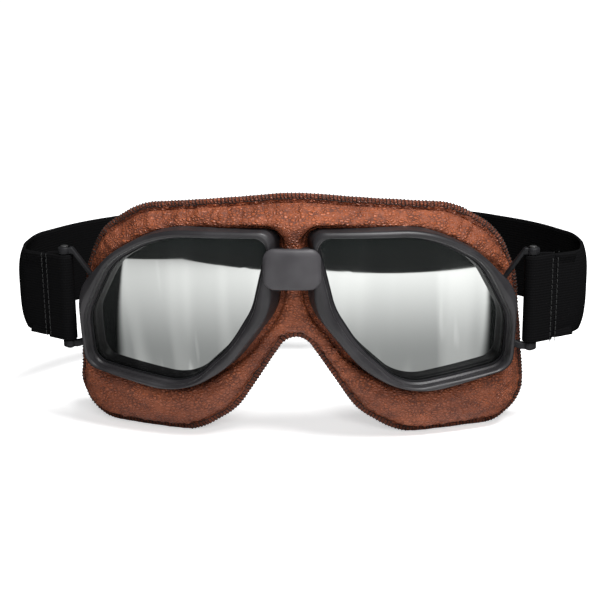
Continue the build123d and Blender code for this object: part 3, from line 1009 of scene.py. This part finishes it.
# %% Overlock round the pad
over = [Vector(p) for p in (
    (0.00, 1.95, 0.95), (0.10, 1.2, 1.03), (0.22, 0.45, 0.88), (0.30, -0.10, 0.30), (0.36, -0.10, -0.30),
    (0.46, 0.45, -0.88), (0.58, 1.2, -1.03), (0.70, 1.95, -0.95),
)]
chain = [Vector(p) for p in ((-0.12, 1.9, 0.95), (0.65, 2.1, 1.0), (1.45, 1.9, 0.95))]
stitch = joined("overlock_stitch", [thread_run("over", over, 0.19), thread_run("chain", chain, 0.17)])
edge_points, edge_in, edge_lift = [], [], []
for i in range(count):
    p, q, w = edge_path[i], inward[i], wave[i]
    base = seam_point(p, w * 0.9)
    far = seam_point(p + q * 3.0, 0.0)
    edge_points.append(base * MM)
    edge_in.append((far - base).normalized())
    edge_lift.append(seam_out(p.x))
pitch = 1.5
overlock = stitch_row("overlock", edge_points, edge_in, edge_lift, stitch, seam_thread, pitch, spread=0.15)
bpy.data.objects.remove(stitch)
co = coords(overlock)
co[:, 2] = np.maximum(co[:, 2], 0.0)
put(overlock, co)
print("overlock", len(overlock.data.polygons), "faces")

# %% [markdown]
# Pad, sewn edge and thread are one piece, which stands for four CAD pieces.

# %% Dress the pad
pad = joined("leather_face_pad", [pad, hem, overlock])
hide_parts("leather_front", "leather_back", "sewn_edge", "foam_core")
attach(pad, "goggles")

# %% [markdown]
# The strap is one flat band of elastic. Each end goes round a pin on the rim's arms and is sewn
# back on itself; behind the head the band runs through a slider. Its line is the CAD model's:
# out from the pin, round the turn, and along the rear run. Each side is one ribbon that meets
# the other under the slider, because each has to bend between the frame and the swinging strap.

# %% Strap line
leave = radians(32.0)
along = Vector((cos(leave), sin(leave)))
across = Vector((sin(leave), -cos(leave)))
pin_middle = Vector((pin_x, pin_y))
pin_radius, loop_slack = 1.5, 0.25
layer = pin_radius + loop_slack + strap_thick / 2
fold_leg, hem_closing, hem_length, hem_bend = 5.6, 6.0, 14.0, 4.0
reach_x, reach_depth = 122.0, 125.5
knee_share, knee_radius_share = 0.826, 0.475
band_start = pin_middle + across * layer
leaving_run = knee_share * (reach_x - band_start.x) / along.x
knee = band_start + along * leaving_run
run_y = front_y + reach_depth
turn_depth = run_y - knee.y
fold_start = pin_middle - across * layer
lying = across * (layer - strap_thick)
hem_points = [
    (*(pin_middle + lying + along * (fold_leg + hem_length)), 0),
    (*(pin_middle + lying + along * (fold_leg + hem_closing)), hem_bend),
    (*(fold_start + along * fold_leg), hem_bend), (*fold_start, 0),
]
band_points = [(*band_start, 0), (*knee, knee_radius_share * leaving_run)]
band_points += [
    (x * reach_x, knee.y + y * turn_depth, r * turn_depth)
    for x, y, r in ((1.000, 0.261, 0.320), (0.852, 0.651, 0.900), (0.590, 1.000, 0.520))
]
band_points.append((0, run_y, 0))
hem_line = rounded(hem_points, 8, 6, closed=False)
half_turn = [pi * k / 12 for k in range(1, 12)]
turn_line = [pin_middle - (across * cos(t) + along * sin(t)) * layer for t in half_turn]
band_line = rounded(band_points, 18, 10, closed=False)
strap_line, strap_length = even_steps(hem_line + turn_line + band_line, ceil)
print("one side of the strap", round(strap_length, 1), "mm, so", round(2 * strap_length), "mm in all")

# %% [markdown]
# The ribbon's section is a thin rounded bar, 36 mm wide. Where the band turns back it is drawn
# in a little and its edges curl towards the head, as stretched elastic does.


# %% Strap ribbons
turn_back_y, turn_back_half, turn_back_x = front_y + 47.0, 26.0, 104.0
drawn_share, edge_curl, unevenness = 0.045, 2.2, 0.25


def ribbon(name, line, drawn=True, side=1):
    """The strap's section along its line, with a UV map in millimetres."""
    half, t, edge_round, columns = strap_width / 2, strap_thick / 2, 0.5, 26
    flat = [-half + edge_round + (strap_width - 2 * edge_round) * k / columns for k in range(columns + 1)]
    profile = [(-t, z) for z in flat] + [(-t * 0.4, half), (t * 0.4, half)]
    profile += [(t, -z) for z in flat] + [(t * 0.4, -half), (-t * 0.4, -half)]
    rings, marks, travel = [], [], 0.0
    for i, p in enumerate(line):
        tangent = (line[min(i + 2, len(line) - 1)] - line[max(i - 2, 0)]).normalized()
        normal = Vector((tangent.y, -tangent.x))
        bend = 0.0
        if drawn and p.x > turn_back_x:
            bend = max(0.0, 1 - ((p.y - turn_back_y) / turn_back_half) ** 2)
        bend = bend * bend * (3 - 2 * bend)
        loose = min(1, max(0, (p.x - 100) / 10)) if drawn else 0
        ring = []
        for off, z in profile:
            curl = bend * edge_curl * abs(z / half) ** 3.5
            wobble = unevenness * loose * noise.noise(Vector((p.x * 0.04, p.y * 0.04, z * 0.03 + 9)))
            spot = p + normal * (off - curl + wobble)
            ring.append(Vector((side * spot.x, spot.y, strap_z + z * (1 - drawn_share * bend))) * MM)
        rings.append(ring)
        marks.append(travel)
        if i + 1 < len(line):
            travel += (line[i + 1] - p).length
    size = len(profile)
    bm = bmesh.new()
    uv_layer = bm.loops.layers.uv.new("UVMap")
    rows = [[bm.verts.new(p) for p in ring] for ring in rings]
    for k in range(len(rows) - 1):
        for i in range(size):
            j = (i + 1) % size
            face = bm.faces.new((rows[k][i], rows[k][j], rows[k + 1][j], rows[k + 1][i]))
            face.smooth = True
            for loop, (row, col) in zip(face.loops, ((k, i), (k, j), (k + 1, j), (k + 1, i))):
                loop[uv_layer].uv = (marks[row], profile[col][1])
    for row in (rows[0][::-1], rows[-1]):
        face = bm.faces.new(row)
        for loop in face.loops:
            loop[uv_layer].uv = (0, 0)
    bmesh.ops.recalc_face_normals(bm, faces=bm.faces)
    obj = linked(name, bm)
    obj.data.materials.append(elastic)
    return obj


dash_points = [Vector(p) for p in ((0.0, 0.0, -0.1), (0.35, 0.0, 0.22), (1.35, 0.0, 0.22), (1.7, 0.0, -0.1))]
dash, dash_pitch = thread_run("dash", dash_points, 0.2), 2.2
row_foot, row_length, back_shift = strap_z - 16.8, 34, 3.0
for side, word in ((1, "right"), (-1, "left")):
    parts = [ribbon(word + "_ribbon", strap_line, side=side)]
    for along_hem in (7.6, 10.2):
        spot = band_start + along * along_hem + across * (strap_thick / 2)
        inner = pin_middle + lying + along * (along_hem + back_shift) - across * (strap_thick / 2)
        for base, out in ((spot, across), (inner, -across)):
            points = [Vector((side * base.x, base.y, row_foot + k)) * MM for k in range(row_length)]
            lifts = [Vector((side * out.x, out.y, 0))] * len(points)
            sideways = [Vector((side * along.x, along.y, 0))] * len(points)
            parts.append(stitch_row(
                word + "_hem_row", points, sideways, lifts, dash, strap_thread, dash_pitch, closed=False,
            ))
    strap = joined(word + "_elastic_strap", parts)
    names = [word + "_strap_loop", word + "_strap_hem"] + (["strap_band"] if side > 0 else [])
    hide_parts(*names)
    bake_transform(strap)
    print(strap.name, len(strap.data.polygons), "faces")
bpy.data.objects.remove(dash)

# %% [markdown]
# The tail of the band is doubled back inside the rear run, between it and the head. The slider
# keeps its CAD shape, in black moulded plastic.

# %% Tail and slider
tail_start, tail_length, tail_steps = 46.0, 80.0, 100
tail_y = run_y - strap_thick
tail_line = [Vector((tail_start - tail_length * k / tail_steps, tail_y)) for k in range(tail_steps + 1)]
tail = ribbon("strap_tail_band", tail_line, drawn=False)
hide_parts("strap_tail")
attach(tail, "strap")
dress("strap_adjuster", black_plastic)
print(tail.name, len(tail.data.polygons), "faces")

# %% [markdown]
# A plain pale floor and a white room. The floor glows a little for the camera alone, so it ends
# at white and still keeps the soft shadow under the pad. Seen in the lenses, only the lit part
# of the floor in front is bright: past its sides and its far edge the room is dark, as it is in
# a studio where only the table is lit.


# %% Room
def room_floor():
    size, lit_slope, lit_start = 14.0, 0.77, 27
    bm = bmesh.new()
    bm.faces.new([bm.verts.new((x * size, y * size, 0)) for x, y in ((-1, -1), (1, -1), (1, 1), (-1, 1))])
    obj = finish_mesh("floor", bm, smooth=False)
    obj.location.z = -0.00002
    s = Surface("pale_floor", (0.82, 0.82, 0.82), 0.9, Specular_IOR_Level=0.0)
    rays = s.tree.nodes.new("ShaderNodeLightPath").outputs
    spot = s.node("ShaderNodeSeparateXYZ", inputs={0: s.place()}).socket.node
    x, y = Num(s, spot.outputs[0]), Num(s, spot.outputs[1])
    away = (x * x + y * y) ** 0.5
    strength = Num(s, rays["Is Camera Ray"]) * (0.50 + away.step(150, 800) * 0.36)
    glow = s.node("ShaderNodeEmission", inputs={"Color": (1, 1, 1), "Strength": strength})
    dim = s.node("ShaderNodeEmission", inputs={"Color": (0.014, 0.016, 0.016)})
    bright = s.node("ShaderNodeAddShader", inputs={0: Num(s, s.shader.outputs[0]), 1: glow})
    aside = x.size() * lit_slope - lit_start
    lit = (0 - y - aside).step(-6, 6) * (700 - x * 0.65 + y).step(-15, 15) * (x + 730).step(-15, 15)
    unlit = Num(s, rays["Is Glossy Ray"]) * (1 - lit)
    seen = s.node("ShaderNodeMixShader", inputs={0: unlit, 1: bright, 2: dim})
    s.tree.links.new(seen.socket, s.tree.nodes["Material Output"].inputs[0])
    obj.data.materials.append(s.material)


def room_world():
    world = bpy.data.worlds.new("room")
    bpy.context.scene.world = world
    world.use_nodes = True
    tree = world.node_tree

    def backdrop(node, colour, strength=1.0):
        node.inputs["Color"].default_value = (*colour, 1)
        node.inputs["Strength"].default_value = strength
        return node.outputs[0]

    def choose(share, first, second):
        """Shows second where share is 1, and first elsewhere."""
        mixer = tree.nodes.new("ShaderNodeMixShader")
        for socket, source in zip(mixer.inputs, (share, first, second)):
            tree.links.new(source, socket)
        return mixer.outputs[0]

    rays = tree.nodes.new("ShaderNodeLightPath").outputs
    soft = backdrop(tree.nodes["Background"], (0.98, 0.99, 1.0), 0.26)
    dark = backdrop(tree.nodes.new("ShaderNodeBackground"), (0.014, 0.017, 0.017))
    white = backdrop(tree.nodes.new("ShaderNodeBackground"), (1, 1, 1))
    seen = choose(rays["Is Camera Ray"], choose(rays["Is Glossy Ray"], soft, dark), white)
    tree.links.new(seen, tree.nodes["World Output"].inputs[0])


def lamp(name, place, target, size, watts):
    data = bpy.data.lights.new(name, "AREA")
    data.shape, data.size, data.energy = "DISK", size, watts
    obj = in_scene(name, data)
    obj.location = place
    obj.rotation_euler = (Vector(target) - Vector(place)).to_track_quat("-Z", "Y").to_euler()


room_floor()
room_world()
lamp("overhead", (0.34, -0.34, 1.15), (0, -0.05, 0.05), 0.5, 23)
lamp("front_fill", (0.25, -1.25, 0.85), (-0.05, -0.40, 0.0), 0.6, 8)

# %% [markdown]
# The camera stands where the photograph was taken from: a little to the right, 15 degrees above
# the goggles, 470 mm away, with a longish lens.

# %% Camera
azimuth, elevation, roll, distance = radians(3.5), radians(15.0), radians(-0.7), 0.47
target = Vector((2.96, front_y, 62.3)) * MM
back = Vector((sin(azimuth) * cos(elevation), -cos(azimuth) * cos(elevation), sin(elevation)))
right = Vector((0, 0, 1)).cross(back).normalized()
up = back.cross(right)
level_right = right * cos(roll) + up * sin(roll)
level_up = up * cos(roll) - right * sin(roll)
data = bpy.data.cameras.new("photo_camera")
data.sensor_fit, data.sensor_width, data.lens = "HORIZONTAL", 36.0, 73.2
data.clip_start, data.clip_end = 0.01, 60
camera = in_scene("photo_camera", data)
spot = target + back * distance
camera.matrix_world = Matrix((
    (level_right.x, level_up.x, back.x, spot.x), (level_right.y, level_up.y, back.y, spot.y),
    (level_right.z, level_up.z, back.z, spot.z), (0, 0, 0, 1),
))
bpy.context.scene.camera = camera
bpy.context.scene.view_settings.view_transform = "Standard"
